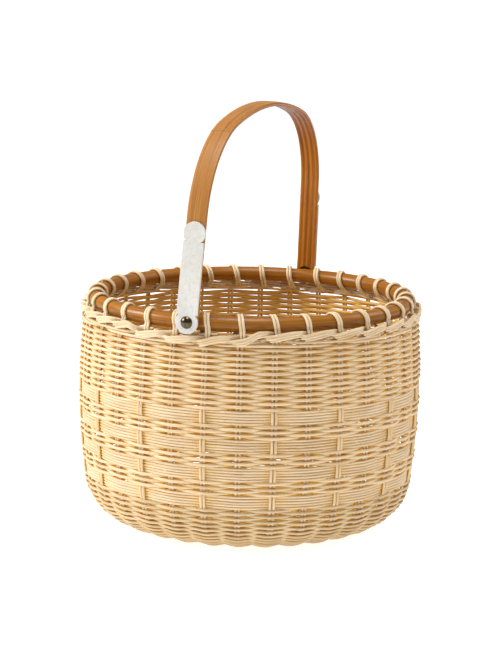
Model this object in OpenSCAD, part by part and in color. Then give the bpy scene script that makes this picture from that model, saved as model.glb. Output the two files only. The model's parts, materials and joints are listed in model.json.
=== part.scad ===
// Round woven cane basket with a lashed rim hoop and one swing handle.
// Origin: centre of the base on the table, +Z up, handle hinge along X.

/* [Body] */
// Widest outside diameter of the woven body, mm
body_d = 255.6; // [230:0.2:285]
// Height of the centre of the rim hoop, mm
rim_z = 165; // [150:1:190]
// Height of the widest point, mm
belly_z = 100; // [90:0.1:112]
// Radius of the slow outward bulge of the wall, mm
bulge_r = 520; // [440:1:800]
// Outside radius of the turn from base to wall, mm
corner_r = 34.5; // [30:0.5:40]

/* [Canes] */
// Pairs of upright canes round the body
stake_pairs = 32; // [24:4:36]
// Diameter of one upright cane, mm
stake_d = 2; // [1.8:0.05:2.2]
// Gap between the two canes of a pair, mm
pair_gap = 0.1; // [0.05:0.05:0.2]
// Gap between neighbouring pairs where they leave the hub, mm
hub_gap = 0.95; // [0.8:0.05:1.2]
// Diameter of one weaving cane, mm
weaver_d = 1.95; // [1.8:0.05:2.2]
// Height of one woven row, mm
row_pitch = 2.03; // [1.9:0.01:2.2]
// Canes in one band, and rows in the plain course above it
band_rows = 5; // [4:1:6]
// Height of the lowest band, mm
band_base_z = 35.6; // [34:0.1:40]

/* [Rim] */
// Thickness of the rim hoop, mm
hoop_d = 11; // [9:0.5:12]
// How far the hoop centre stands inside the outer face of the wall, mm
hoop_inset = 10.4; // [9:0.1:11]
// Thickness of the lashing canes, mm
lash_d = 1.8; // [1.5:0.1:2]
// Height of the rolled border, mm
border_h = 7.5; // [7:0.5:9]
// How far the border stands proud of the wall, mm
border_proud = 1.2; // [1:0.1:2]

/* [Handle] */
// Height of the handle top over the hinge, mm
bow_h = 143; // [125:1:170]
// Width of the bamboo strip, mm
strip_w = 14.8; // [13:0.1:16]
// Thickness of the bamboo strip, mm
strip_t = 2.5; // [2:0.1:3]
// Height over the hinge where the shoulder bend starts, mm
leg_h = 72; // [60:1:80]
// Inward lean of the legs, degrees
leg_lean = 4.7; // [3:0.1:6]
// Outside radius of the shoulder bend, mm
shoulder_r = 70; // [62:1:76]
// Forward lean of the whole handle at rest, degrees
handle_tilt = 2.9; // [0:0.1:6]

/* [Pivot] */
// Height of the hinge over the hoop centre, mm
pivot_rise = 1.5; // [0:0.1:2]
// Diameter of the rivet shank, mm
shank_d = 3; // [2.5:0.1:3.5]
// How far the rivet reaches into the hoop, mm
pin_depth = 8; // [6:0.1:9]
// Diameter of the domed rivet head, mm
dome_d = 8.7; // [8:0.1:10]
// Height of the domed rivet head, mm
dome_h = 2.7; // [2:0.1:3.5]
// Thickness of the ear plates, mm
plate_t = 1.6; // [1.2:0.1:2]
// Width of the ear plates, mm
plate_w = 15.4; // [14:0.1:16]
// Height of the upper disc of the ear plates over the hinge, mm
plate_top = 61; // [55:1:66]

/* [Hidden] */
$fn = 96;
// Small overlap or gap that keeps two faces from coinciding.
eps = 0.02;
// How far a cut runs past what it cuts, mm and degrees.
over = 2;
over_a = 0.1;
// Gap round pieces that sit still, and beside pieces that turn.
seat_gap = 0.05;
run_gap = 0.1;
// Longest facet of the woven wall.
facet = 4;

body_r = body_d / 2;
wall_t = stake_d + 2 * weaver_d;
mid_o = wall_t / 2;
bulge_x = body_r - bulge_r;
corner_x = bulge_x + sqrt(pow(bulge_r - corner_r, 2) - pow(belly_z - corner_r, 2));
corner_a = asin((corner_r - belly_z) / (bulge_r - corner_r));
pair_w = 2 * stake_d + pair_gap;
stake_off = (stake_d + pair_gap) / 2;
step = 360 / stake_pairs;
slot_w = pair_w + 2 * seat_gap;
slot_t = stake_d + 2 * seat_gap;
slot_in = bulge_r - mid_o - slot_t / 2;
slot_out = slot_in + slot_t;
window_side = 0.7;
window_w = pair_w + 2 * window_side;
hub_r = stake_pairs * (pair_w + hub_gap) / (2 * PI);
stake_inset = 0.3;
stake_start = hub_r + stake_inset;
band_h = band_rows * row_pitch;
period_h = 2 * band_h;
band_z = [for (i = [0:3]) band_base_z + (3 - i) * period_h];
hoop_r = hoop_d / 2;
lash_r = lash_d / 2;
lash_ring_r = hoop_r + seat_gap + lash_r;
lash_gap = 0.2;
inset_drop = 5;
rim_r = wall_r(rim_z - hoop_r - inset_drop, 0) - hoop_inset;
cross_margin = 0.6;
cross_end_gap = 0.1;
cross_sticks = stake_pairs / 4;
cross_pitch = sqrt(2) * (hub_r - cross_margin) / cross_sticks;
cross_half = cross_pitch * cross_sticks / 2;
hinge_z = rim_z + pivot_rise;
bore_d = shank_d + run_gap;
spacer_d = 10.4;
spacer_x = rim_r + hoop_r + seat_gap;
lash_clear = 0.85;
spacer_t = lash_ring_r + lash_r - hoop_r + lash_clear;
foot_x = spacer_x + spacer_t + run_gap;
foot_h = 10;
foot_lean = tan(leg_lean);
foot_extra = 0.3;
foot_round = strip_w / 2 + foot_extra;
foot_clear = 0.3;
border_top = hinge_z - foot_round - foot_clear;
border_z = border_top - border_h;
foot_end = foot_round + over;
plate_x = foot_x + strip_t + eps;
dome_x = plate_x + plate_t + run_gap;
pin_x = rim_r + hoop_r - pin_depth;
shank_in = 0.5;
disc_extra = 0.4;
disc_r = plate_w / 2 + disc_extra;
plate_neck = 5.3;
plate_upper_neck = 5.8;
plate_shoulder = plate_top - plate_upper_neck;
plate_reach = 30;

cane = [0.88, 0.78, 0.6];
bamboo = [0.72, 0.47, 0.22];
shell = [0.94, 0.93, 0.9];
bronze = [0.25, 0.2, 0.12];

// Radius of the wall at height z, at depth o below its outer face.
function wall_r(z, o) = bulge_x + sqrt(pow(bulge_r - o, 2) - pow(z - belly_z, 2));

// Angle about the bulge centre of the wall's middle line at height z.
function wall_a(z) = asin((z - belly_z) / (bulge_r - mid_o));

// Points up the wall from z0 to z1 at depth o.
function wall_line(z0, z1, o, n) = [for (i = [0:n]) let (z = z0 + (z1 - z0) * i / n) [wall_r(z, o), z]];

// Points round the corner from the base to the wall at depth o.
function corner_line(o, n) = [for (i = [0:n]) let (a = -90 + (corner_a + 90) * i / n)
    [corner_x + (corner_r - o) * cos(a), corner_r + (corner_r - o) * sin(a)]];

function backwards(list) = [for (i = [len(list) - 1:-1:0]) list[i]];

// Radius of the crown arc that meets both shoulder bends.
shoulder_x = foot_x + strip_t - (leg_h - foot_h) * foot_lean - shoulder_r * cos(leg_lean);
shoulder_z = leg_h - shoulder_r * sin(leg_lean);
crown_drop = shoulder_z - bow_h;
crown_r = (pow(shoulder_r, 2) - pow(shoulder_x, 2) - pow(crown_drop, 2)) / (2 * (crown_drop + shoulder_r));
crown_z = bow_h - crown_r;
crown_a = atan2(shoulder_z - crown_z, shoulder_x);

// A rectangular sweep along an arc in the X-Z plane, centred on Y = 0.
module arc_bar(x, z, r_in, r_out, width, a0, a1) {
    translate([x, 0, z]) rotate([90, 0, 0]) rotate([0, 0, a0])
        rotate_extrude(angle = a1 - a0)
            translate([r_in, -width / 2]) square([r_out - r_in, width]);
}

// A round rod along an arc in the X-Z plane.
module arc_rod(x, z, r, rod_r, a0, a1) {
    translate([x, 0, z]) rotate([90, 0, 0]) rotate([0, 0, a0])
        rotate_extrude(angle = a1 - a0)
            translate([r, 0]) circle(r = rod_r);
}

module at_stakes(first) {
    for (k = [first:2:stake_pairs - 1])
        rotate([0, 0, (k + 0.5) * step]) children();
}

// One upright cane: out along the base, round the corner and up the wall.
// The two knuckles make its three runs one solid.
module stake_rod() {
    r = stake_d / 2;
    knuckle_r = r + eps;
    turn_r = corner_r - mid_o;
    translate([stake_start, 0, mid_o]) rotate([0, 90, 0]) cylinder(r = r, h = corner_x - stake_start);
    translate([corner_x, 0, mid_o]) sphere(r = knuckle_r);
    arc_rod(corner_x, corner_r, turn_r, r, -90, corner_a);
    translate([corner_x + turn_r * cos(corner_a), 0, corner_r + turn_r * sin(corner_a)])
        sphere(r = knuckle_r);
    arc_rod(bulge_x, belly_z, bulge_r - mid_o, r, corner_a, wall_a(border_z - eps));
}

module stake_pair() {
    translate([0, stake_off, 0]) stake_rod();
    translate([0, -stake_off, 0]) stake_rod();
}

// A cut along the wall between two heights, from bulge radius r_in to r_out.
module wall_cut(r_in, r_out, width, z0, z1) {
    arc_bar(bulge_x, belly_z, r_in, r_out, width, wall_a(z0) - over_a, wall_a(z1) + over_a);
}

// Room for a pair of uprights in the wall.
module wall_slot(z0, z1) {
    wall_cut(slot_in, slot_out, slot_w, z0, z1);
}

// Window that lays a pair of uprights open to the outside.
module outer_window(z0, z1) {
    wall_cut(slot_in, bulge_r + over, window_w, z0, z1);
}

// Window that lays a pair of uprights open to the inside.
module inner_window(z0, z1) {
    wall_cut(bulge_r - wall_t - over, slot_out, window_w, z0, z1);
}

module wall_shell(z0, z1) {
    n = ceil((z1 - z0) / facet);
    rotate_extrude()
        polygon(concat(wall_line(z0, z1, 0, n), backwards(wall_line(z0, z1, wall_t, n))));
}

module plain_course(z0, z1) {
    difference() {
        wall_shell(z0, z1);
        at_stakes(0) wall_slot(z0, z1);
        at_stakes(1) wall_slot(z0, z1);
    }
}

module band(z0, z1) {
    difference() {
        wall_shell(z0, z1);
        at_stakes(0) outer_window(z0, z1);
        at_stakes(1) inner_window(z0, z1);
    }
}

// One layer of straight base sticks, each reaching the circle where the uprights start.
module cross_layer() {
    for (i = [0:cross_sticks - 1], side = [-1, 1]) {
        y = (i + 0.5) * cross_pitch - cross_half + side * stake_off;
        reach = sqrt(pow(hub_r - cross_end_gap, 2) - pow(abs(y) + stake_d / 2, 2));
        translate([-reach, y, 0]) rotate([0, 90, 0]) cylinder(d = stake_d, h = 2 * reach);
    }
}

module base_cross_lower() {
    color(cane) translate([0, 0, mid_o - stake_d / 2 - eps]) cross_layer();
}

module base_cross_upper() {
    color(cane) translate([0, 0, mid_o + stake_d / 2 + eps]) rotate([0, 0, 90]) cross_layer();
}

module base_slot() {
    translate([hub_r - over, -slot_w / 2, mid_o - slot_t / 2])
        cube([corner_x - hub_r + 2 * over, slot_w, slot_t]);
}

module base_weave() {
    color(cane) difference() {
        rotate_extrude() translate([hub_r, 0]) square([corner_x - hub_r, wall_t]);
        at_stakes(0) base_slot();
        at_stakes(1) base_slot();
    }
}

module corner_slot() {
    rm = corner_r - mid_o;
    translate([corner_x - over, -slot_w / 2, mid_o - slot_t / 2]) cube([over + eps, slot_w, slot_t]);
    arc_bar(corner_x, corner_r, rm - slot_t / 2, rm + slot_t / 2, slot_w, -90, corner_a);
    arc_bar(bulge_x, belly_z, slot_in, slot_out, slot_w, corner_a, wall_a(band_base_z) + over_a);
}

module corner_weave() {
    z0 = corner_r + corner_r * sin(corner_a);
    z1 = corner_r + (corner_r - wall_t) * sin(corner_a);
    outer = concat(corner_line(0, 18), wall_line(z0 + 1, band_base_z, 0, 2));
    inner = concat(corner_line(wall_t, 18), wall_line(z1 + 1, band_base_z, wall_t, 2));
    color(cane) difference() {
        rotate_extrude() polygon(concat(outer, backwards(inner)));
        at_stakes(0) corner_slot();
        at_stakes(1) corner_slot();
    }
}

module stakes_shown() {
    color(cane) at_stakes(0) stake_pair();
}

module stakes_covered() {
    color(cane) at_stakes(1) stake_pair();
}

module band_1() {
    color(cane) band(band_z[0], band_z[0] + band_h);
}

module band_2() {
    color(cane) band(band_z[1], band_z[1] + band_h);
}

module band_3() {
    color(cane) band(band_z[2], band_z[2] + band_h);
}

module band_4() {
    color(cane) band(band_z[3], band_z[3] + band_h);
}

module plain_course_1() {
    color(cane) plain_course(band_z[1] + band_h, band_z[0]);
}

module plain_course_2() {
    color(cane) plain_course(band_z[2] + band_h, band_z[1]);
}

module plain_course_3() {
    color(cane) plain_course(band_z[3] + band_h, band_z[2]);
}

module upper_weave() {
    color(cane) plain_course(band_z[0] + band_h, border_z);
}

// Outer side of the rolled border, from the wall to the top: share of its height, depth under its peak.
border_roll = [[0.16, 0.6], [0.34, 0], [0.55, 0], [0.78, 0.9], [0.94, 2.6], [1, 4.4]];
// Bevel along the inner top edge of the border, across and down.
border_bevel = [1, 1.5];

// Rolled border with a round seat on top for the lashings. Its top lies under the turning feet of the handle.
module border() {
    in_x = wall_r(border_z, wall_t);
    out_x = wall_r(border_z, 0);
    peak = out_x + border_proud;
    color(cane) rotate_extrude() difference() {
        polygon(concat([[in_x, border_z], [out_x, border_z]],
            [for (p = border_roll) [peak - p[1], border_z + p[0] * border_h]],
            [[in_x + border_bevel[0], border_top], [in_x, border_top - border_bevel[1]]]));
        translate([rim_r, rim_z]) circle(r = lash_ring_r + lash_r + seat_gap);
    }
}

// The scarf joint of the pole, its start and end, faces +Y, clear of both bores.
module rim_hoop() {
    color(bamboo) difference() {
        translate([0, 0, rim_z]) rotate([0, 0, 90]) rotate_extrude()
            translate([rim_r, 0]) circle(r = hoop_r);
        for (side = [0, 180])
            rotate([0, 0, side]) translate([pin_x - run_gap, 0, hinge_z]) rotate([0, 90, 0])
                cylinder(d = bore_d, h = pin_depth + over);
    }
}

module lash_ring() {
    rotate([90, 0, 0]) rotate_extrude() translate([lash_ring_r, 0]) circle(r = lash_r);
}

module rim_lashing() {
    color(cane) for (k = [0:stake_pairs - 1], side = [-1, 1])
        rotate([0, 0, (k + 0.5) * step]) translate([rim_r, side * (lash_r + lash_gap / 2), rim_z])
            lash_ring();
}

// Right half of the bow's side view at depth o outside its inner face: leg, shoulder, crown.
function bow_half(o) = let (inset = (strip_t - o) * cos(leg_lean)) concat(
    [[foot_x + o, -foot_end], [foot_x + o, foot_h]],
    [for (i = [0:36]) let (a = leg_lean + (crown_a - leg_lean) * i / 36)
        [shoulder_x + (shoulder_r - inset) * cos(a), shoulder_z + (shoulder_r - inset) * sin(a)]],
    [for (i = [1:12]) let (a = crown_a + (90 - crown_a) * i / 12)
        [(crown_r - inset) * cos(a), crown_z + (crown_r - inset) * sin(a)]]);

function flipped(list) = [for (i = [len(list) - 1:-1:0]) [-list[i][0], list[i][1]]];

// Full side view between the inner and outer faces. The middle point is shared by both halves.
function bow_line(o) = let (half = bow_half(o)) concat(half, [for (i = [1:len(half) - 1]) flipped(half)[i]]);

// Side view of the ear plate, lying on the outer face of the leg.
module plate_section() {
    top = plate_top + disc_r + over;
    drop = (top - foot_h) * foot_lean;
    polygon([[plate_x, -foot_end], [plate_x + plate_t, -foot_end], [plate_x + plate_t, foot_h],
        [plate_x + plate_t - drop, top], [plate_x - drop, top], [plate_x, foot_h]]);
}

module upright(width) {
    rotate([90, 0, 0]) translate([0, 0, -width / 2]) linear_extrude(width) children();
}

module hinge_bore() {
    translate([foot_x - over, 0, 0]) rotate([0, 90, 0])
        cylinder(d = bore_d, h = strip_t + plate_t + 2 * over);
}

// Keeps everything over the hinge and rounds both feet under it.
module foot_outline() {
    reach = foot_x + strip_t + over;
    translate([-reach, -strip_w, 0]) cube([2 * reach, 2 * strip_w, bow_h + over]);
    translate([-reach, 0, 0]) rotate([0, 90, 0]) cylinder(r = foot_round, h = 2 * reach);
}

module at_hinge() {
    translate([0, 0, hinge_z]) rotate([handle_tilt, 0, 0]) children();
}

module handle_bow() {
    color(bamboo) at_hinge() difference() {
        intersection() {
            upright(strip_w) polygon(concat(bow_line(strip_t), backwards(bow_line(0))));
            foot_outline();
        }
        hinge_bore();
        mirror([1, 0, 0]) hinge_bore();
    }
}

// Ear plate outline: a disc at each end of a straight body.
module plate_outline() {
    cylinder(r = disc_r, h = 2 * plate_reach);
    translate([-plate_top, 0, 0]) cylinder(r = disc_r, h = 2 * plate_reach);
    translate([-plate_shoulder, -plate_w / 2, 0])
        cube([plate_shoulder - plate_neck, plate_w, 2 * plate_reach]);
}

module plate() {
    difference() {
        intersection() {
            upright(2 * (disc_r + over)) plate_section();
            translate([plate_x - plate_reach, 0, 0]) rotate([0, 90, 0]) plate_outline();
        }
        hinge_bore();
    }
}

module plate_left() {
    color(shell) at_hinge() mirror([1, 0, 0]) plate();
}

module plate_right() {
    color(shell) at_hinge() plate();
}

// Domed head and shank in one piece.
module rivet() {
    dome_r = (pow(dome_d / 2, 2) + pow(dome_h, 2)) / (2 * dome_h);
    translate([0, 0, hinge_z]) rotate([0, 90, 0]) {
        translate([0, 0, dome_x]) rotate_extrude() intersection() {
            translate([0, dome_h - dome_r]) circle(r = dome_r);
            square([dome_d, dome_h]);
        }
        translate([0, 0, pin_x]) cylinder(d = shank_d, h = dome_x + shank_in - pin_x);
    }
}

module rivet_left() {
    color(bronze) rotate([0, 0, 180]) rivet();
}

module rivet_right() {
    color(bronze) rivet();
}

module spacer() {
    translate([spacer_x, 0, hinge_z]) rotate([0, 90, 0]) difference() {
        cylinder(d = spacer_d, h = spacer_t);
        translate([0, 0, -over]) cylinder(d = bore_d, h = spacer_t + 2 * over);
    }
}

module spacer_left() {
    color(bronze) rotate([0, 0, 180]) spacer();
}

module spacer_right() {
    color(bronze) spacer();
}

base_cross_lower();
base_cross_upper();
base_weave();
stakes_shown();
stakes_covered();
corner_weave();
band_1();
band_2();
band_3();
band_4();
plain_course_1();
plain_course_2();
plain_course_3();
upper_weave();
border();
rim_hoop();
rim_lashing();
handle_bow();
plate_left();
plate_right();
rivet_left();
rivet_right();
spacer_left();
spacer_right();
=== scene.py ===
"""Looks of the round woven cane basket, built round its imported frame: every cane is its own strand."""
import json
import math
import bmesh
import bpy
import numpy as np
from mathutils import Matrix, Vector

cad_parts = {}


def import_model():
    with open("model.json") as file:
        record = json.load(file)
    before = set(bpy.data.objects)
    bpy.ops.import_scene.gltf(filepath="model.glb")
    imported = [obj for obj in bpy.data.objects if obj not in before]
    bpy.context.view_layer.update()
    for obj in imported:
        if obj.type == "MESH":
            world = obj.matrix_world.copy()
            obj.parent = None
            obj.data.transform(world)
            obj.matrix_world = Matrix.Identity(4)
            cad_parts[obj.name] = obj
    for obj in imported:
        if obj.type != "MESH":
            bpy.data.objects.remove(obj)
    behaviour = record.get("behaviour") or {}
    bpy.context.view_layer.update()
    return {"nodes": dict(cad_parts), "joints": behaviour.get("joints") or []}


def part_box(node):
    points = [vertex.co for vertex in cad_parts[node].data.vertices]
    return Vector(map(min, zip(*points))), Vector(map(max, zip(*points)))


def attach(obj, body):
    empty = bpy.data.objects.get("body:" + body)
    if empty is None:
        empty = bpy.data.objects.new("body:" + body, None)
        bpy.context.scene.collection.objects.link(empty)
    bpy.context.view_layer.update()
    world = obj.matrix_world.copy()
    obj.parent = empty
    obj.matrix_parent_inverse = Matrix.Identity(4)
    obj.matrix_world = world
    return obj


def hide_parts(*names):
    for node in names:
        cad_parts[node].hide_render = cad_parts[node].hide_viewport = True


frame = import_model()

MM = 0.001
RANDOM = np.random.default_rng(7)

# ---------------------------------------------------------------- sizes, from the frame where it gives them

STAKES = 32
STEP = 2 * math.pi / STAKES
SEG = 12
ROW = 2.03 * MM
WALL_T = 5.9 * MM
MID = WALL_T / 2
BELLY_Z = 100 * MM
BULGE_R = 520 * MM
CORNER_R = 34.5 * MM
STAKE_D = 2.1 * MM
STAKE_OFF = 1.16 * MM
WEAVER_D = 1.9 * MM
WEAVER_W = 2.32 * MM
STICK_W = 2.0 * MM
STICK_T = 1.9 * MM
LASH_D = 2.05 * MM
BORDER_D = 2.0 * MM

BODY_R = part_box("band_1")[1][0]
HOOP_R = (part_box("rim_hoop")[1][2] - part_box("rim_hoop")[0][2]) / 2
RIM_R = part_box("rim_hoop")[1][0] - HOOP_R
RIM_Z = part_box("rim_hoop")[0][2] + HOOP_R
BULGE_X = BODY_R - BULGE_R
CORNER_X = BULGE_X + math.sqrt((BULGE_R - CORNER_R) ** 2 - (BELLY_Z - CORNER_R) ** 2)
CORNER_A = math.asin((CORNER_R - BELLY_Z) / (BULGE_R - CORNER_R))
CORNER_S = CORNER_X + (CORNER_R - MID) * (CORNER_A + math.pi / 2)
HUB_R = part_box("base_cross_lower")[1][0] + 0.3 * MM
WEAVE_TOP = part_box("upper_weave")[1][2]
HINGE = np.array(frame["joints"][0]["pos_m"])
HINGE_Z = HINGE[2]

BAND_Z = [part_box(f"band_{i}")[0][2] for i in (1, 2, 3, 4)]
LIFT = 1.7 * MM
BAND_ROWS = 5
BAND_H = BAND_ROWS * ROW
BAND_CANE = 1.98 * MM
BAND_LIFT = 0.7 * MM
BAND_SHIFT = 0.2 * MM
PUSH = {0: 1.45 * MM, 1: -1.15 * MM}

STRIP_W = 14.8 * MM
STRIP_T = 2.5 * MM
BOW_H = 143 * MM
LEG_H = 72 * MM
FOOT_H = 10 * MM
LEG_LEAN = math.radians(4.7)
SHOULDER_R = 70 * MM
HANDLE_TILT = math.radians(2.9)
FOOT_ROUND = STRIP_W / 2 + 0.3 * MM
PLATE_W = 15.4 * MM
PLATE_T = 1.6 * MM
PLATE_TOP = 61 * MM
PLATE_NECK = 5.3 * MM
PLATE_SHOULDER = PLATE_TOP - 5.8 * MM
DISC_R = PLATE_W / 2 + 0.4 * MM
PLATE_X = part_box("handle_bow")[1][0]
FOOT_X = PLATE_X - STRIP_T

# ---------------------------------------------------------------- the body's middle surface


def middle(s):
    """Radius, height and outward normal of the body's middle line, s metres out from the base centre."""
    s = np.asarray(s, float)
    turn_r, wall_r = CORNER_R - MID, BULGE_R - MID
    turn = -math.pi / 2 + (s - CORNER_X) / turn_r
    rise = CORNER_A + (s - CORNER_S) / wall_r
    on_base, on_wall = s < CORNER_X, s > CORNER_S
    angle = np.where(on_base, -math.pi / 2, np.where(on_wall, rise, turn))
    nr, nz = np.cos(angle), np.sin(angle)
    r = np.where(on_base, s, np.where(on_wall, BULGE_X + wall_r * nr, CORNER_X + turn_r * nr))
    z = np.where(on_base, MID, np.where(on_wall, BELLY_Z + wall_r * nz, CORNER_R + turn_r * nz))
    return r, z, nr, nz


def up_wall(z):
    """The distance s at which the wall's middle line is z high."""
    return CORNER_S + (BULGE_R - MID) * (math.asin((z - BELLY_Z) / (BULGE_R - MID)) - CORNER_A)


def on_body(s, theta, out):
    """Points and surface normals at distance s and angle theta, out metres outside the middle surface."""
    r, z, nr, nz = middle(s)
    c, d = np.cos(theta), np.sin(theta)
    nr, nz = nr + 0 * theta, nz + 0 * theta
    at = np.stack([(r + out * nr) * c, (r + out * nr) * d, z + out * nz], -1)
    return at, np.stack([nr * c, nr * d, nz], -1)


def wander(theta, size, waves=(2, 3, 5, 7, 11)):
    """A smooth random wave round the body, about size high."""
    total = np.zeros_like(theta)
    for w in waves:
        total += RANDOM.normal() * np.sin(w * theta + RANDOM.uniform(0, 2 * math.pi))
    return total * size / math.sqrt(len(waves) / 2)


def ease(x):
    """A smooth step from 0 to 1 while x goes from 0 to 1."""
    x = np.clip(x, 0, 1)
    return x * x * (3 - 2 * x)


# ---------------------------------------------------------------- strands


class Strands:
    """Collects swept canes and turns them into one mesh with grain coordinates."""

    def __init__(self):
        self.points = []
        self.grain = []
        self.tone = []
        self.painted_shade = []
        self.loops = []
        self.sizes = []
        self.count = 0

    def add(self, path, normal, wide, thick, closed=False, sides=10, lift=None):
        """Sweeps an oval along path: wide is its half width across the surface, thick its half thickness.
        For a strand in the wall, lift is how far each point of the path stands off the middle surface; it
        also sets the painted shade."""
        path, normal = np.asarray(path, float), np.asarray(normal, float)
        wide, thick = np.broadcast_to(wide, len(path)), np.broadcast_to(thick, len(path))
        if not closed:
            path, normal, wide, thick = round_ends(path, normal, wide, thick)
        n = len(path)
        ahead = np.roll(path, -1, 0) - np.roll(path, 1, 0)
        if not closed:
            ahead[0], ahead[-1] = path[1] - path[0], path[-1] - path[-2]
        ahead /= np.linalg.norm(ahead, axis=1)[:, None]
        across = np.cross(ahead, normal)
        across /= np.linalg.norm(across, axis=1)[:, None]
        normal = np.cross(across, ahead)
        turn = np.arange(sides) * 2 * math.pi / sides
        oval = (across[:, None] * np.cos(turn)[None, :, None] * wide[:, None, None]
                + normal[:, None] * np.sin(turn)[None, :, None] * thick[:, None, None])
        along = np.concatenate([[0], np.cumsum(np.linalg.norm(np.diff(path, axis=0), axis=1))])
        tone = RANDOM.uniform(0, 1)
        grain = np.empty((n, sides, 3))
        grain[..., 0] = along[:, None] + tone * 7
        grain[..., 1] = np.cos(turn)[None] * wide[:, None] + tone * 3
        grain[..., 2] = np.sin(turn)[None] * thick[:, None] + tone * 5
        base = self.count
        last = n if closed else n - 1
        i, j = np.meshgrid(np.arange(last), np.arange(sides), indexing="ij")
        k, m = (i + 1) % n, (j + 1) % sides
        quads = np.stack([i * sides + j, k * sides + j, k * sides + m, i * sides + m], -1)
        quads = quads.reshape(-1, 4) + base
        self.loops.append(quads.ravel())
        self.sizes.append(np.full(len(quads), 4))
        if not closed:
            self.loops.append(base + np.arange(sides))
            self.loops.append(base + (n - 1) * sides + np.arange(sides)[::-1])
            self.sizes.append(np.array([sides, sides]))
        self.points.append((path[:, None] + oval).reshape(-1, 3))
        self.grain.append(grain.reshape(-1, 3))
        self.tone.append(np.full(n * sides, tone))
        # The painted shade of each point, from how far it stands in or out of the weave.
        self.painted_shade.append(painted_weave_shade(lift, n, turn, thick))
        self.count += n * sides

    def piece(self, name, material, body, *nodes):
        """Makes one piece of all the strands, on a body and in place of the named CAD nodes."""
        mesh = bpy.data.meshes.new(name)
        points = np.concatenate(self.points)
        loops = np.concatenate(self.loops)
        sizes = np.concatenate(self.sizes)
        starts = np.concatenate([[0], np.cumsum(sizes)[:-1]])
        mesh.vertices.add(len(points))
        mesh.vertices.foreach_set("co", points.astype(np.float32).ravel())
        mesh.loops.add(len(loops))
        mesh.loops.foreach_set("vertex_index", loops.astype(np.int32))
        mesh.polygons.add(len(sizes))
        mesh.polygons.foreach_set("loop_start", starts.astype(np.int32))
        mesh.polygons.foreach_set("use_smooth", np.ones(len(sizes), bool))
        mesh.update(calc_edges=True)
        write_grain(mesh, np.concatenate(self.grain), np.concatenate(self.tone), np.concatenate(self.painted_shade))
        finish_piece(mesh, material, body, *nodes)


def painted_weave_shade(lift, n, turn, thick):
    """How much painted shade each point of a swept strand gets from the weave: 0 on a face turned to the
    open, 1 on a hidden one, and never less than a half on a face turned to the inside of the basket, where
    it paints warm bounce light."""
    if lift is None:
        return np.zeros(n * len(turn))
    pad = (n - len(lift)) // 2
    facing = np.sin(turn)[None]
    stand = np.pad(np.asarray(lift, float), pad, mode="edge")[:, None] + facing * thick[:, None]
    hidden = 1 - ease((stand * facing + 0.75 * MM) / (1.5 * MM))
    return np.maximum(hidden, 0.5 * ease(-facing * 1.5)).ravel()


def round_ends(path, normal, wide, thick):
    """Adds a small dome to both ends of an open strand."""
    start, end = path[0] - path[1], path[-1] - path[-2]
    start, end = start / np.linalg.norm(start), end / np.linalg.norm(end)
    reach = np.array([0.55, 0.85, 0.98])
    size = np.sqrt(1 - reach ** 2)
    first = path[0] + start * (reach[::-1, None] * thick[0])
    final = path[-1] + end * (reach[:, None] * thick[-1])
    path = np.concatenate([first, path, final])
    normal = np.concatenate([np.repeat(normal[:1], 3, 0), normal, np.repeat(normal[-1:], 3, 0)])
    wide = np.concatenate([wide[0] * size[::-1], wide, wide[-1] * size])
    thick = np.concatenate([thick[0] * size[::-1], thick, thick[-1] * size])
    return path, normal, wide, thick


def write_values(mesh, name, kind, slot, values):
    """Stores values on the mesh's points under a name that the materials read."""
    data = mesh.attributes.new(name, kind, "POINT").data
    data.foreach_set(slot, np.asarray(values, np.float32).ravel())


def write_grain(mesh, grain, tone, painted_shade):
    """Grain is a place in the wood, tone sets strands or dark marks apart, and the last values are the
    painted shade.
    """
    write_values(mesh, "grain", "FLOAT_VECTOR", "vector", grain)
    write_values(mesh, "tone", "FLOAT", "value", tone)
    write_values(mesh, "painted_shade", "FLOAT", "value", painted_shade)


def finish_piece(mesh, material, body, *nodes):
    """Puts the mesh in the scene, on its body and in place of the named CAD nodes."""
    piece = bpy.data.objects.new(mesh.name, mesh)
    bpy.context.scene.collection.objects.link(piece)
    mesh.materials.append(material)
    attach(piece, body)
    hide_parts(*nodes)


def smooth_path(points, count):
    """count points on the Catmull-Rom curve through a few given ones."""
    p = np.asarray(points, float)
    p = np.concatenate([[2 * p[0] - p[1]], p, [2 * p[-1] - p[-2]]])
    at = np.linspace(0, len(p) - 3 - 1e-9, count)
    i, u = at.astype(int), (at % 1)[:, None]
    a, b, c, d = p[i], p[i + 1], p[i + 2], p[i + 3]
    square = (2 * a - 5 * b + 4 * c - d) * u ** 2
    cube = (3 * b - a - 3 * c + d) * u ** 3
    return 0.5 * (2 * b + (c - a) * u + square + cube)


# ---------------------------------------------------------------- materials


def new_material(name):
    """A node material: itself, its tree and its shader."""
    material = bpy.data.materials.new(name)
    material.use_nodes = True
    tree = material.node_tree
    return material, tree, tree.nodes["Principled BSDF"]


def node(tree, kind, **inputs):
    """A new node whose named inputs are linked to a socket or set to a value."""
    made = tree.nodes.new(kind)
    for key, value in inputs.items():
        socket = made.inputs[key.replace("_", " ")]
        if isinstance(value, bpy.types.NodeSocket):
            tree.links.new(value, socket)
        else:
            socket.default_value = value
    return made


def stretched(tree, vector, scale, offset=(0, 0, 0)):
    """The vector scaled by three factors."""
    return node(tree, "ShaderNodeMapping", Vector=vector, Scale=scale, Location=offset).outputs[0]


def noise(tree, vector, scale, detail=3.0, rough=0.55):
    """The value of a noise texture."""
    made = node(tree, "ShaderNodeTexNoise", Vector=vector, Scale=scale, Detail=detail, Roughness=rough)
    return made.outputs[0]


def ramp(tree, value, *stops):
    """A colour ramp through (place, colour) stops."""
    made = node(tree, "ShaderNodeValToRGB", Fac=value)
    band = made.color_ramp
    while len(band.elements) < len(stops):
        band.elements.new(0.5)
    for element, (place, colour) in zip(band.elements, stops):
        element.position = place
        element.color = (*colour, 1)
    return made.outputs[0]


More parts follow.
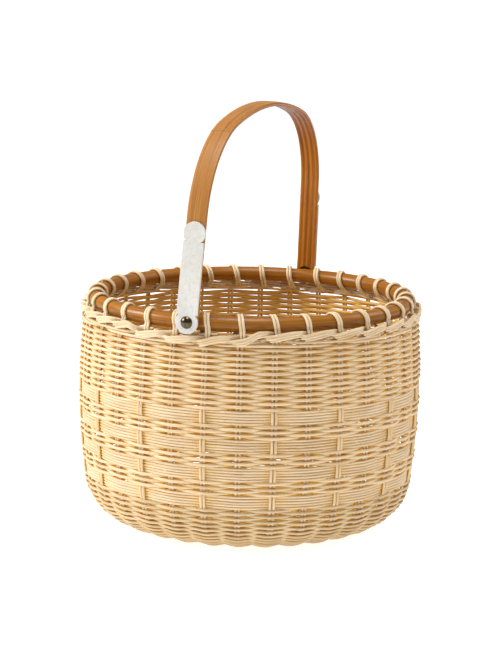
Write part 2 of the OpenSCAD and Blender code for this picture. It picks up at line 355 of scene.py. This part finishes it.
def blend_colours(tree, mode, amount, first, second):
    """First and second colour mixed, or first darkened by second, by amount."""
    made = tree.nodes.new("ShaderNodeMix")
    made.data_type, made.blend_type = "RGBA", mode
    sockets = {(socket.name, socket.type): socket for socket in made.inputs}
    for key, value in (("Factor", "VALUE"), amount), (("A", "RGBA"), first), (("B", "RGBA"), second):
        if isinstance(value, bpy.types.NodeSocket):
            tree.links.new(value, sockets[key])
        else:
            sockets[key].default_value = (*value, 1) if isinstance(value, tuple) else value
    return next(socket for socket in made.outputs if socket.type == "RGBA")


def attribute(tree, name):
    """A colour, vector or number written on the mesh's points."""
    made = tree.nodes.new("ShaderNodeAttribute")
    made.attribute_name = name
    return made.outputs


def bump(tree, shader, height, distance, strength):
    """Lets a height texture tilt the surface's normal."""
    made = node(tree, "ShaderNodeBump", Height=height, Distance=distance, Strength=strength)
    tree.links.new(made.outputs[0], shader.inputs["Normal"])


def cane_material(name, light, dark, fleck):
    """Peeled cane: long fibres, strands of slightly different tone, a few brown flecks, a satin surface and
    painted shade in the weave.
    The painted shade colours pass 1 because they also paint warm bounce light on the inside of the basket,
    which is strongly coloured but not dark."""
    material, tree, shader = new_material(name)
    vector = attribute(tree, "grain")["Vector"]
    fibre = noise(tree, stretched(tree, vector, (60, 2600, 2600)), 1.0, 4.0, 0.6)
    patch = noise(tree, stretched(tree, vector, (28, 90, 90)), 1.0, 2.0)
    speck = noise(tree, stretched(tree, vector, (220, 900, 900), (3, 1, 2)), 1.0, 1.0)
    base = ramp(tree, fibre, (0.3, dark), (0.52, light), (0.75, light))
    tint = ramp(tree, patch, (0.3, (0.86, 0.8, 0.68)), (0.55, (1, 1, 1)), (0.75, (1, 1, 1)))
    base = blend_colours(tree, "MULTIPLY", 0.8, base, tint)
    own = attribute(tree, "tone")["Fac"]
    strand = ramp(tree, own, (0.0, (0.9, 0.85, 0.76)), (0.5, (1, 1, 1)), (1.0, (1, 0.97, 0.93)))
    base = blend_colours(tree, "MULTIPLY", 0.8, base, strand)
    # Painted shade: darker and more orange where the weave hides a face, and painted warm bounce light,
    # brighter than the plain cane, on faces turned to the inside of the basket.
    painted_shade = attribute(tree, "painted_shade")["Fac"]
    shade = ramp(tree, painted_shade, (0.0, (1, 1, 1)), (0.5, (1.26, 1.1, 0.5)), (1.0, (1.05, 0.78, 0.28)))
    base = blend_colours(tree, "MULTIPLY", 1.0, base, shade)
    marks = ramp(tree, speck, (0.70, (0, 0, 0)), (0.78, (1, 1, 1)))
    marked = blend_colours(tree, "MIX", marks, base, fleck)
    tree.links.new(marked, shader.inputs["Base Color"])
    rough = node(tree, "ShaderNodeMapRange", Value=fibre, To_Min=0.42, To_Max=0.6)
    tree.links.new(rough.outputs[0], shader.inputs["Roughness"])
    shader.inputs["Specular IOR Level"].default_value = 0.6
    bump(tree, shader, fibre, 0.06 * MM, 0.7)
    return material


def bamboo_material(name, light, mid, dark, gloss):
    """Bamboo skin: fine straight fibres, broad tone bands along the grain and a smooth surface."""
    material, tree, shader = new_material(name)
    vector = attribute(tree, "grain")["Vector"]
    fibre = noise(tree, stretched(tree, vector, (14, 1500, 1500)), 1.0, 5.0, 0.65)
    band = noise(tree, stretched(tree, vector, (6, 330, 330), (2, 0, 0)), 1.0, 2.0)
    cloud = noise(tree, stretched(tree, vector, (22, 60, 60), (5, 0, 0)), 1.0, 3.0)
    base = ramp(tree, fibre, (0.28, dark), (0.5, mid), (0.72, light))
    bands = ramp(tree, band, (0.32, (0.72, 0.66, 0.58)), (0.52, (1, 1, 1)), (0.7, (1.0, 0.96, 0.9)))
    base = blend_colours(tree, "MULTIPLY", 0.95, base, bands)
    clouds = ramp(tree, cloud, (0.3, (0.82, 0.78, 0.7)), (0.6, (1, 1, 1)))
    base = blend_colours(tree, "MULTIPLY", 0.7, base, clouds)
    base = blend_colours(tree, "MIX", attribute(tree, "tone")["Fac"], base, (0.18, 0.09, 0.03))
    # Painted shade on the handle strip's inner face: warmer along the legs and darkest where it faces down
    # under the crown.
    painted_shade = attribute(tree, "painted_shade")["Fac"]
    inner = ramp(tree, painted_shade, (0.0, (1, 1, 1)), (0.6, (1.08, 0.84, 0.12)), (1.0, (0.5, 0.34, 0.06)))
    base = blend_colours(tree, "MULTIPLY", 1.0, base, inner)
    tree.links.new(base, shader.inputs["Base Color"])
    rough = node(tree, "ShaderNodeMapRange", Value=fibre, To_Min=gloss, To_Max=gloss + 0.16)
    tree.links.new(rough.outputs[0], shader.inputs["Roughness"])
    shader.inputs["Specular IOR Level"].default_value = 0.32
    bump(tree, shader, fibre, 0.08 * MM, 0.6)
    return material


def plate_material():
    """Polished white shell: cloudy white with faint beige veins and small pits."""
    material, tree, shader = new_material("ear_plate_white")
    place = node(tree, "ShaderNodeTexCoord").outputs["Object"]
    bend = noise(tree, place, 55.0, 3.0)
    swirl = node(tree, "ShaderNodeTexNoise", Vector=place, Scale=70.0, Detail=2.0).outputs["Color"]
    shifted = tree.nodes.new("ShaderNodeVectorMath")
    shifted.operation = "MULTIPLY_ADD"
    tree.links.new(swirl, shifted.inputs[0])
    shifted.inputs[1].default_value = (0.022, 0.022, 0.022)
    tree.links.new(place, shifted.inputs[2])
    vein = node(tree, "ShaderNodeTexVoronoi", Vector=shifted.outputs[0], Scale=38.0)
    vein.feature = "DISTANCE_TO_EDGE"
    mottle = noise(tree, place, 420.0, 4.0, 0.6)
    white = ramp(tree, mottle,
                 (0.3, (0.53, 0.53, 0.51)), (0.5, (0.6, 0.6, 0.58)), (0.7, (0.64, 0.64, 0.625)))
    cloud = ramp(tree, bend, (0.35, (0.93, 0.92, 0.9)), (0.6, (1, 1, 1)))
    base = blend_colours(tree, "MULTIPLY", 1.0, white, cloud)
    lines = ramp(tree, vein.outputs["Distance"], (0.0, (0.55, 0.55, 0.55)), (0.035, (0, 0, 0)))
    base = blend_colours(tree, "MIX", lines, base, (0.6, 0.53, 0.37))
    tree.links.new(base, shader.inputs["Base Color"])
    rough = node(tree, "ShaderNodeMapRange", Value=mottle, To_Min=0.28, To_Max=0.5)
    tree.links.new(rough.outputs[0], shader.inputs["Roughness"])
    shader.inputs["Subsurface Weight"].default_value = 0.1
    shader.inputs["Subsurface Scale"].default_value = 0.002
    bump(tree, shader, mottle, 0.08 * MM, 0.5)
    return material


def bronze_material():
    """Dark antique brass, a little brighter where it is rubbed."""
    material, tree, shader = new_material("rivet_antique_brass")
    place = node(tree, "ShaderNodeTexCoord").outputs["Object"]
    wear = noise(tree, place, 500.0, 4.0, 0.6)
    base = ramp(tree, wear,
                (0.35, (0.06, 0.048, 0.027)), (0.6, (0.1, 0.08, 0.043)), (0.8, (0.2, 0.15, 0.075)))
    tree.links.new(base, shader.inputs["Base Color"])
    shader.inputs["Metallic"].default_value = 1.0
    rough = node(tree, "ShaderNodeMapRange", Value=wear, To_Min=0.16, To_Max=0.28)
    tree.links.new(rough.outputs[0], shader.inputs["Roughness"])
    bump(tree, shader, wear, 0.01 * MM, 0.4)
    return material


FLECK = (0.42, 0.22, 0.07)
WEAVE = cane_material("cane_weave", (0.7, 0.55, 0.36), (0.6, 0.43, 0.24), FLECK)
# A darker copy of the weave cane for the corner and base rows: painted shade on the lower basket.
SHADED_LOW_WEAVE = cane_material("cane_low_weave_shaded", (0.59, 0.46, 0.29), (0.5, 0.36, 0.2), (0.38, 0.2, 0.06))
UPRIGHT = cane_material("cane_upright", (0.69, 0.53, 0.34), (0.58, 0.41, 0.22), FLECK)
LASHING = cane_material("cane_lashing", (0.76, 0.62, 0.42), (0.66, 0.5, 0.3), (0.46, 0.26, 0.1))
HOOP_WOOD = bamboo_material("hoop_bamboo", (0.4, 0.168, 0.013), (0.32, 0.118, 0.006),
                            (0.19, 0.062, 0.002), 0.24)
BOW_WOOD = bamboo_material("handle_bamboo", (0.48, 0.235, 0.066), (0.38, 0.16, 0.03),
                           (0.21, 0.074, 0.009), 0.38)
SHELL = plate_material()
BRONZE = bronze_material()

# ---------------------------------------------------------------- woven body

RING = np.arange(STAKES * SEG) * 2 * math.pi / (STAKES * SEG)
SHOWN = np.cos(math.pi * (RING / STEP - 0.5))


def in_band(s):
    """1 where the wall is inside a band and 0 outside, with soft edges."""
    total = np.zeros_like(np.asarray(s, float))
    for z in BAND_Z:
        low, high = up_wall(z), up_wall(z) + BAND_H
        total += ease((s - low + 1.2 * MM) / (2.4 * MM)) * ease((high - s + 1.2 * MM) / (2.4 * MM))
    return total


def weave_row(strands, s, over, lift=LIFT, shift=0.0, wide=WEAVER_W / 2, slack=0.11 * MM, sides=10):
    """One weaving cane round the body: over is 1 if it passes outside the shown uprights, -1 if behind.
    It swings lift either side of shift from the middle surface."""
    wave = over * SHOWN
    wave = wave * (0.85 + 0.15 * wave ** 2)
    out = shift + wave * lift * (1 + wander(RING, 0.05))
    at, normal = on_body(s + wander(RING, slack), RING, out)
    size = 1 + wander(RING, 0.025) + RANDOM.normal() * 0.02
    strands.add(at, normal, wide * size, WEAVER_D / 2 * size, closed=True, sides=sides, lift=out)


def band(name, index):
    """Five canes side by side that hardly bend: the uprights they pass bend instead."""
    strands = Strands()
    low = up_wall(BAND_Z[index])
    for i in range(BAND_ROWS):
        weave_row(strands, low + (i + 0.5) * ROW, -1, BAND_LIFT, BAND_SHIFT, BAND_CANE / 2, 0.04 * MM)
    strands.piece(name, WEAVE, "basket", f"band_{index + 1}")


def plain_course(name, node_name, low, rows, pitch=ROW):
    """Rows of canes that pass in turn outside and behind the shown uprights, from low up."""
    strands = Strands()
    for i in range(rows):
        weave_row(strands, low + (i + 0.5) * pitch, 1 if i % 2 == 0 else -1)
    strands.piece(name, WEAVE, "basket", node_name)


def lower_weave():
    """The rows under the lowest band, round the corner and across the base to the hub."""
    corner, base = Strands(), Strands()
    s, over = up_wall(BAND_Z[3]) - ROW / 2, 1
    while s > HUB_R + 0.8 * MM:
        strands = corner if s > CORNER_X else base
        on_base = s < CORNER_X + 4 * MM
        weave_row(strands, s, over, slack=0.05 * MM if on_base else 0.11 * MM, sides=8)
        s, over = s - ROW, -over
    # The corner and base rows take the darker cane, which paints the shade on the lower basket.
    corner.piece("corner_canes", SHADED_LOW_WEAVE, "basket", "corner_weave")
    base.piece("base_canes", SHADED_LOW_WEAVE, "basket", "base_weave")


def uprights(name, first, node_name):
    """Pairs of upright canes from the hub, along the base and up the wall into the border."""
    strands = Strands()
    top = up_wall(WEAVE_TOP + 4 * MM)
    for k in range(first, STAKES, 2):
        for side in (-1, 1):
            s = np.linspace(HUB_R + 0.2 * MM, top, 120)
            r = middle(s)[0]
            theta = (k + 0.5) * STEP + side * STAKE_OFF / r
            theta = theta + np.interp(s, [HUB_R, CORNER_X, top], RANDOM.normal(size=3) * 0.15 * MM) / r
            push = PUSH[first] * in_band(s)
            at, normal = on_body(s, theta, push)
            strands.add(at, normal, STAKE_D / 2, STAKE_D / 2 * 0.92, sides=8, lift=push)
    strands.piece(name, UPRIGHT, "basket", node_name)


def base_cross(name, node_name, turn):
    """Eight pairs of straight base sticks that weave over and under the other eight."""
    strands = Strands()
    pitch = math.sqrt(2) * (HUB_R - 0.9 * MM) / STAKES * 4
    half = pitch * 4
    for i in range(8):
        for side in (-1, 1):
            y = (i + 0.5) * pitch - half + side * STAKE_OFF
            reach = math.sqrt(max(HUB_R ** 2 - y ** 2, 0)) + 0.5 * MM
            x = np.linspace(-reach, reach, 90)
            inside = ease((half - np.abs(x)) / (pitch / 2))
            wave = np.cos(math.pi * (x / pitch - 0.5)) * (1 if i % 2 == 0 else -1)
            z = MID + STICK_T / 2 * wave * inside
            c, d = math.cos(turn), math.sin(turn)
            at = np.stack([x * c - y * d, x * d + y * c, z], -1)
            strands.add(at, np.tile([0.0, 0.0, 1.0], (90, 1)), STICK_W / 2, STICK_T / 2, sides=8)
    strands.piece(name, UPRIGHT, "basket", node_name)


plain_course("upper_canes", "upper_weave", up_wall(BAND_Z[0]) + BAND_H, 21, 2.07 * MM)
for course in (1, 2, 3):
    band_low = BAND_Z[course]
    plain_course(f"plain_canes_{course}", f"plain_course_{course}", up_wall(band_low) + BAND_H, 5)
for level in range(4):
    band(f"band_canes_{level + 1}", level)
lower_weave()
uprights("upright_canes_shown", 0, "stakes_shown")
uprights("upright_canes_covered", 1, "stakes_covered")
base_cross("base_sticks_lower", "base_cross_lower", 0.0)
base_cross("base_sticks_upper", "base_cross_upper", math.pi / 2)

# ---------------------------------------------------------------- rolled border and lashings


WALE_LIFT = 2 * MM
FOOT_DROP = 1.0 * MM
LEG_DROP = 3.4 * MM
UNIT_CANES = 3
UNIT_PITCH = 1.65 * MM
UNIT_OUT = 1.9 * MM
UNIT_SWELL = 1.2 * MM
UNIT_DIVE = 6.8 * MM
UNIT_BASE = WEAVE_TOP + 7.2 * MM
UNIT_RISE = 3.0 * MM
UNIT_FALL = 2.4 * MM
INNER_CANES = 2
INNER_PITCH = 2.1 * MM
INNER_BASE = WEAVE_TOP + 3.7 * MM
INNER_RISE = 2.2 * MM
INNER_OUT = 3.2 * MM


def wale_row(strands, s, gap):
    """A long cane that passes outside three uprights and inside the fourth."""
    place = RING / STEP - 0.5
    away = np.abs((place - gap + 2) % 4 - 2)
    out = (ease(away / 0.8) * 2 - 1) * WALE_LIFT
    at, normal = on_body(s + wander(RING, 0.12 * MM), RING, out)
    strands.add(at, normal, BORDER_D / 2, BORDER_D / 2, closed=True, lift=out)


def under_handle(theta):
    """How far the border keeps down beside the hinges, for the handle's turning feet and its legs."""
    away = np.abs((theta / STEP + STAKES / 4) % (STAKES / 2) - STAKES / 4)
    return FOOT_DROP * ease((0.8 - away) / 0.4) + LEG_DROP * ease((2.1 - away) / 0.5)


def outer_unit(strands, k):
    """Three canes that start beside upright k, climb past the next one and dive in under the hoop.
    Beside the hinges they stay low, clear of the turning handle."""
    wall_r = middle(up_wall(WEAVE_TOP))[0]
    sway = RANDOM.normal() * 0.2 * MM
    for j in range(UNIT_CANES):
        first = -0.27 + 0.075 * j + RANDOM.normal() * 0.02
        last = 1.25 + RANDOM.normal() * 0.04
        t = np.linspace(first, last, 36)
        theta = (k + 0.5 + t) * STEP
        dive = ease((t - 0.58) / 0.5)
        out = UNIT_OUT + UNIT_SWELL * ease((t - first) / 0.2) - UNIT_DIVE * dive
        top = UNIT_BASE + UNIT_RISE * ease((t + 0.3) / 0.9) - UNIT_FALL * ease((t - 0.68) / 0.5)
        z = top + sway - j * UNIT_PITCH * (1 - 0.3 * ease((t - 0.2) / 0.7))
        low = under_handle(theta)
        z = z - low - sway * ease(low / MM)
        r = wall_r + out + 0.15 * MM * np.sin(3 * t + k)
        size = BORDER_D / 2 * (1 + RANDOM.normal() * 0.03)
        add_round(strands, r, theta, z, size)


def inner_unit(strands, k):
    """The same canes seen from inside: two that slant up between the uprights."""
    wall_r = middle(up_wall(WEAVE_TOP))[0]
    for j in range(INNER_CANES):
        t = np.linspace(-0.35, 1.3, 34) + RANDOM.normal() * 0.03
        theta = (k + 0.5 + t) * STEP
        r = wall_r - INNER_OUT * ease((t + 0.4) / 0.4) * (1 - ease((t - 1) / 0.4))
        z = INNER_BASE + INNER_RISE * t + (0.5 - j) * INNER_PITCH
        add_round(strands, r, theta, z, BORDER_D / 2)


def add_round(strands, r, theta, z, size):
    """A round cane through cylindrical coordinates."""
    at = np.stack([r * np.cos(theta), r * np.sin(theta), z], -1)
    normal = np.stack([np.cos(theta), np.sin(theta), 0 * theta], -1)
    strands.add(at, normal, size, size, sides=10)


def border():
    """Two long canes on top of the weave, and over them the canes that roll in under the hoop."""
    strands = Strands()
    top = up_wall(WEAVE_TOP)
    wale_row(strands, top + 0.6 * MM, 0)
    wale_row(strands, top + 2.7 * MM, 2)
    for k in range(STAKES):
        outer_unit(strands, k)
        inner_unit(strands, k)
    strands.piece("border_canes", WEAVE, "basket", "border")


def lashing():
    """Two canes side by side over the hoop at every upright, a little slanted, ending in the border."""
    strands = Strands()
    hug = HOOP_R + LASH_D / 2
    turn = np.radians(np.linspace(-22, 222, 14))
    arc = np.stack([RIM_R + hug * np.cos(turn), RIM_Z + hug * np.sin(turn)], -1)
    outside = [[RIM_R + 7.2 * MM, RIM_Z - 11.5 * MM], [RIM_R + 7.3 * MM, RIM_Z - 6.5 * MM]]
    inside = [[RIM_R - 1.0 * MM, RIM_Z - 7.9 * MM], [RIM_R + 2.4 * MM, RIM_Z - 10.0 * MM]]
    line = smooth_path(np.concatenate([outside, arc, inside]), 64)
    centre = np.array([RIM_R, RIM_Z])
    facing = line - centre
    facing /= np.linalg.norm(facing, axis=1)[:, None]
    share = np.linspace(0, 1, len(line))
    for k in range(STAKES):
        middle_angle = (k + 0.5) * STEP + RANDOM.normal() * 0.35 * MM / RIM_R
        slant = RANDOM.normal(1, 0.12)
        for side in (-1, 1):
            aside = (2.4 * MM - 7.2 * MM * share) * slant + side * LASH_D * 0.53
            theta = middle_angle + aside / line[:, 0]
            c, d = np.cos(theta), np.sin(theta)
            at = np.stack([line[:, 0] * c, line[:, 0] * d, line[:, 1]], -1)
            normal = np.stack([facing[:, 0] * c, facing[:, 0] * d, facing[:, 1]], -1)
            strands.add(at, normal, LASH_D / 2, LASH_D / 2 * 0.92)
    strands.piece("lashing_canes", LASHING, "basket", "rim_lashing")


border()
lashing()

# ---------------------------------------------------------------- rim hoop, handle and ear plates


def rim_hoop():
    """A bent bamboo pole: its thickness wavers a little and swells at three shaved nodes."""
    theta = np.linspace(0, 2 * math.pi, 360, endpoint=False)
    nodes = np.radians([38, 151, 268])
    away = np.min(np.abs((theta[:, None] - nodes + math.pi) % (2 * math.pi) - math.pi), axis=1) * RIM_R
    ridge = 0.025 * np.exp(-(away / (2.2 * MM)) ** 2)
    groove = 0.02 * np.exp(-((away - 3 * MM) / (1.5 * MM)) ** 2)
    swell = 1 + ridge - groove
    size = (HOOP_R - 0.03 * MM) * swell * (1 + wander(theta, 0.006))
    at = np.stack([RIM_R * np.cos(theta), RIM_R * np.sin(theta), RIM_Z + 0 * theta], -1)
    normal = np.stack([np.cos(theta), np.sin(theta), 0 * theta], -1)
    strands = Strands()
    strands.add(at, normal, size, size, closed=True, sides=28)
    strands.tone = [np.repeat(0.55 * np.exp(-(away / (0.7 * MM)) ** 2), 28)]
    strands.piece("rim_pole", HOOP_WOOD, "basket", "rim_hoop")


def bow_line():
    """The inner face of the handle's right half from the side, foot to crown: x, z and the angle that
    its outer side faces."""
    lean = math.tan(LEG_LEAN)
    cx = PLATE_X - (LEG_H - FOOT_H) * lean - SHOULDER_R * math.cos(LEG_LEAN)
    cz = LEG_H - SHOULDER_R * math.sin(LEG_LEAN)
    drop = cz - BOW_H
    crown_r = (SHOULDER_R ** 2 - cx ** 2 - drop ** 2) / (2 * (drop + SHOULDER_R))
    crown_z = BOW_H - crown_r
    crown_a = math.atan2(cz - crown_z, cx)
    thin = STRIP_T * math.cos(LEG_LEAN)
    foot = [(FOOT_X, z, 0.0) for z in np.linspace(-FOOT_ROUND, FOOT_H - 3 * MM, 16)]
    leg = [(FOOT_X - (z - FOOT_H) * lean, z, LEG_LEAN)
           for z in np.linspace(FOOT_H + 3 * MM, LEG_H - 4 * MM, 12)]
    bend = [(cx + (SHOULDER_R - thin) * math.cos(a), cz + (SHOULDER_R - thin) * math.sin(a), a)
            for a in np.linspace(LEG_LEAN, crown_a, 34)]
    crown = [((crown_r - thin) * math.cos(a), crown_z + (crown_r - thin) * math.sin(a), a)
             for a in np.linspace(crown_a, math.pi / 2, 16)[1:]]
    return np.array(foot + leg + bend + crown)


def strip_section():
    """The strip's cross-section: crowned skin outside, rounded edges, three shallow flutes inside.
    Points are (share of the half width, share of the thickness)."""
    right = [(1 - 0.09 * (1 - math.cos(a)), 0.5 + 0.5 * math.sin(a))
             for a in np.radians([-68, -40, -14, 14, 40, 68])]
    outer = [(y, 1.0 + 0.14 * (1 - (y / 0.9) ** 2)) for y in np.linspace(0.9, -0.9, 23)]
    left = [(-y, h) for y, h in reversed(right)]
    inner = [(y, 0.085 * math.cos(y * 3.6 * math.pi) * (1 - y ** 4) + 0.02)
             for y in np.linspace(-0.9, 0.9, 46)]
    return np.array(right + outer + left + inner)


def place_handle(points):
    """Turns points given about the hinge into the rest pose."""
    c, s = math.cos(HANDLE_TILT), math.sin(HANDLE_TILT)
    x, y, z = points[..., 0], points[..., 1], points[..., 2]
    return np.stack([x, y * c - z * s, HINGE_Z + y * s + z * c], -1)


def handle_bow():
    """The bamboo strip: its section swept along the bow, with two nodes and closely spaced rings there."""
    half = bow_line()
    left = half[::-1][1:].copy()
    left[:, 0] *= -1
    left[:, 2] = math.pi - left[:, 2]
    line = np.concatenate([half, left])
    along = np.concatenate([[0], np.cumsum(np.hypot(*np.diff(line[:, :2], axis=0).T))])
    node_at = (along[-1] - 146 * MM, along[-1] * 0.31)
    close = [at + np.linspace(-2.4, 2.4, 17) * MM for at in node_at]
    finer = np.sort(np.concatenate([along, *close]))
    line = np.stack([np.interp(finer, along, column) for column in line.T], 1)
    along = finer
    section = strip_section()
    n, m = len(line), len(section)
    over_foot = np.clip(-line[:, 1], 0, FOOT_ROUND * 0.995)
    wide = np.minimum(np.sqrt(FOOT_ROUND ** 2 - over_foot ** 2), STRIP_W / 2)
    ridge = sum(np.exp(-((along - at) / (1.3 * MM)) ** 2) for at in node_at)
    thick = STRIP_T * (1 + 0.1 * ridge + wander(along / along[-1] * 6, 0.01))
    wide = wide * (1 + 0.012 * ridge)
    nx, nz = np.cos(line[:, 2]), np.sin(line[:, 2])
    h = section[None, :, 1] * thick[:, None] - 0.06 * STRIP_T
    y = section[None, :, 0] * wide[:, None]
    x = line[:, None, 0] + h * nx[:, None]
    z = line[:, None, 1] + h * nz[:, None]
    points = place_handle(np.stack([x, y, z], -1)).reshape(-1, 3)
    grain = np.stack([np.broadcast_to(along[:, None], (n, m)), y, h], -1).reshape(-1, 3)
    speck = np.exp(-((along[:, None] + 0.5 * MM * np.sin(y * 2400) - node_at[0]) / (0.55 * MM)) ** 2)
    tone = (speck * (0.7 + 0.3 * np.sin(y * 3100 + 1.0))).clip(0, 1).ravel()
    i, j = np.meshgrid(np.arange(n - 1), np.arange(m), indexing="ij")
    k = (j + 1) % m
    quads = np.stack([i * m + j, i * m + k, (i + 1) * m + k, (i + 1) * m + j], -1).reshape(-1, 4)
    mesh = bpy.data.meshes.new("bow_strip")
    ends = [list(range(m))[::-1], [(n - 1) * m + q for q in range(m)]]
    mesh.from_pydata(points.tolist(), [], quads.tolist() + ends)
    mesh.polygons.foreach_set("use_smooth", np.ones(len(mesh.polygons), bool))
    # Painted shade on the strip's inner face, strongest where it faces down under the crown.
    inside = 1 - ease((section[:, 1] - 0.1) / 0.5)
    painted_inner_shade = (inside[None] * (0.6 + 0.4 * nz[:, None] ** 2)).ravel()
    write_grain(mesh, grain, tone, painted_inner_shade)
    finish_piece(mesh, BOW_WOOD, "handle", "handle_bow")


def plate_edge():
    """The ear plate's outline, (across, up) from the hinge, anticlockwise from the lower right shoulder."""
    half = PLATE_W / 2
    low = math.asin(PLATE_NECK / DISC_R)
    high = math.asin((PLATE_TOP - PLATE_SHOULDER) / DISC_R)
    body_right = [(half, z) for z in np.linspace(PLATE_NECK, PLATE_SHOULDER, 16)]
    top = [(DISC_R * math.cos(a), PLATE_TOP + DISC_R * math.sin(a))
           for a in np.linspace(-high, math.pi + high, 44)]
    body_left = [(-half, z) for z in np.linspace(PLATE_SHOULDER, PLATE_NECK, 16)]
    foot = [(DISC_R * math.cos(a), DISC_R * math.sin(a))
            for a in np.linspace(math.pi - low, 2 * math.pi + low, 44)]
    return np.array(body_right + top + body_left + foot)


def plate(name, node_name, side):
    """An ear plate: its outline thickened, its edges softened, cut across so that it follows the leg."""
    edge = plate_edge()
    shape = bmesh.new()
    ring = [shape.verts.new((0, y * side, z)) for y, z in edge]
    if side < 0:
        ring.reverse()
    face = shape.faces.new(ring)
    face.normal_update()
    made = bmesh.ops.extrude_face_region(shape, geom=[face])
    moved = [v for v in made["geom"] if isinstance(v, bmesh.types.BMVert)]
    bmesh.ops.translate(shape, verts=moved, vec=(PLATE_T, 0, 0))
    bmesh.ops.recalc_face_normals(shape, faces=shape.faces)
    rim = [e for e in shape.edges if e.calc_face_angle(0) > math.radians(60)
           and abs(e.verts[0].co.x - e.verts[1].co.x) < 1e-6]
    bmesh.ops.bevel(shape, geom=rim, offset=0.35 * MM, segments=3, profile=0.6, affect="EDGES",
                    clamp_overlap=True)
    for z in np.linspace(-6 * MM, 66 * MM, 25):
        geom = list(shape.verts) + list(shape.edges) + list(shape.faces)
        bmesh.ops.bisect_plane(shape, geom=geom, plane_co=(0, 0, z), plane_no=(0, 0, 1))
    for v in shape.verts:
        y, z = v.co.y, v.co.z
        crown = 0.18 * MM * (1 - (y / DISC_R) ** 2) if v.co.x > PLATE_T / 2 else 0
        lean = max(z - FOOT_H, 0) * math.tan(LEG_LEAN)
        v.co.x = PLATE_X + v.co.x + crown - lean
    for v in shape.verts:
        v.co = place_handle(np.array([v.co.x * side, v.co.y, v.co.z]))
    bmesh.ops.recalc_face_normals(shape, faces=shape.faces)
    mesh = bpy.data.meshes.new(name)
    shape.to_mesh(mesh)
    shape.free()
    finish_piece(mesh, SHELL, "handle", node_name)


rim_hoop()
handle_bow()
plate("ear_plate_left", "plate_left", -1)
plate("ear_plate_right", "plate_right", 1)
for metal in ("rivet_left", "rivet_right", "spacer_left", "spacer_right"):
    part = frame["nodes"][metal]
    part.data.materials.clear()
    part.data.materials.append(BRONZE)

# ---------------------------------------------------------------- floor, light and camera

VIEW_AZIMUTH = -69.74
VIEW_ELEVATION = 10.58
VIEW_ROLL = 1.095
VIEW_DISTANCE = 1.477
FOCAL_LENGTH = 107.1
TARGET_Z = 137.5 * MM
TARGET_SIDE = -0.4 * MM
FLOOR_REACH = 90.0
FLOOR_GLOW = 0.78
SKY_STRENGTH = 0.33
LAMP_COLOUR = (1.0, 0.98, 0.96)


def floor():
    """A wide pale floor that glows enough to stay white round the basket."""
    material, _, shader = new_material("floor_pale")
    shader.inputs["Base Color"].default_value = (0.8, 0.8, 0.8, 1)
    shader.inputs["Roughness"].default_value = 0.9
    shader.inputs["Emission Color"].default_value = (1, 1, 1, 1)
    shader.inputs["Emission Strength"].default_value = FLOOR_GLOW
    mesh = bpy.data.meshes.new("floor")
    corners = [(x * FLOOR_REACH, y * FLOOR_REACH, 0) for x, y in ((-1, -1), (1, -1), (1, 1), (-1, 1))]
    mesh.from_pydata(corners, [], [(0, 1, 2, 3)])
    mesh.materials.append(material)
    sheet = bpy.data.objects.new("floor", mesh)
    bpy.context.scene.collection.objects.link(sheet)


def direction(azimuth, elevation):
    """The way from the basket to a lamp or camera, azimuth and elevation in degrees."""
    a, e = math.radians(azimuth), math.radians(elevation)
    return np.array([math.sin(a) * math.cos(e), -math.cos(a) * math.cos(e), math.sin(e)])


def softbox(name, azimuth, elevation, distance, size, power):
    """A round soft lamp that shines at the upper body."""
    lamp = bpy.data.lights.new(name, "AREA")
    lamp.shape = "DISK"
    lamp.size = size
    lamp.energy = power
    lamp.color = LAMP_COLOUR
    holder = bpy.data.objects.new(name, lamp)
    bpy.context.scene.collection.objects.link(holder)
    way = direction(azimuth, elevation)
    aim(holder, np.array([0, 0, RIM_Z * 0.6]) + way * distance, way, 0)


def aim(holder, position, back, roll):
    """Puts a lamp or camera at position, its back towards back, turned by roll about its view line."""
    side = np.cross([0, 0, 1], back)
    side /= np.linalg.norm(side)
    up = np.cross(back, side)
    c, s = math.cos(roll), math.sin(roll)
    axes = np.stack([side * c + up * s, up * c - side * s, back], 1)
    holder.matrix_world = Matrix.LocRotScale(Vector(position), Matrix(axes.tolist()), None)


def camera():
    """The camera at the angle that the basket is seen from."""
    lens = bpy.data.cameras.new("camera")
    lens.sensor_width = 36.0
    lens.lens = FOCAL_LENGTH
    lens.clip_end = 500
    holder = bpy.data.objects.new("camera", lens)
    bpy.context.scene.collection.objects.link(holder)
    back = direction(VIEW_AZIMUTH, VIEW_ELEVATION)
    side = direction(VIEW_AZIMUTH + 90, 0)
    target = np.array([0, 0, TARGET_Z]) + side * TARGET_SIDE
    aim(holder, target + back * VIEW_DISTANCE, back, math.radians(VIEW_ROLL))
    bpy.context.scene.camera = holder


def world():
    """An even, faintly warm sky."""
    sky = bpy.data.worlds.new("studio")
    bpy.context.scene.world = sky
    sky.use_nodes = True
    background = sky.node_tree.nodes["Background"]
    background.inputs["Color"].default_value = (1.0, 0.99, 0.975, 1)
    background.inputs["Strength"].default_value = SKY_STRENGTH


floor()
world()
softbox("key", VIEW_AZIMUTH - 88, 30, 1.4, 0.6, 17)
softbox("side", VIEW_AZIMUTH + 105, 40, 1.6, 0.8, 7)
softbox("top", VIEW_AZIMUTH - 20, 78, 1.3, 0.7, 12)
camera()
bpy.context.scene.view_settings.view_transform = "Standard"
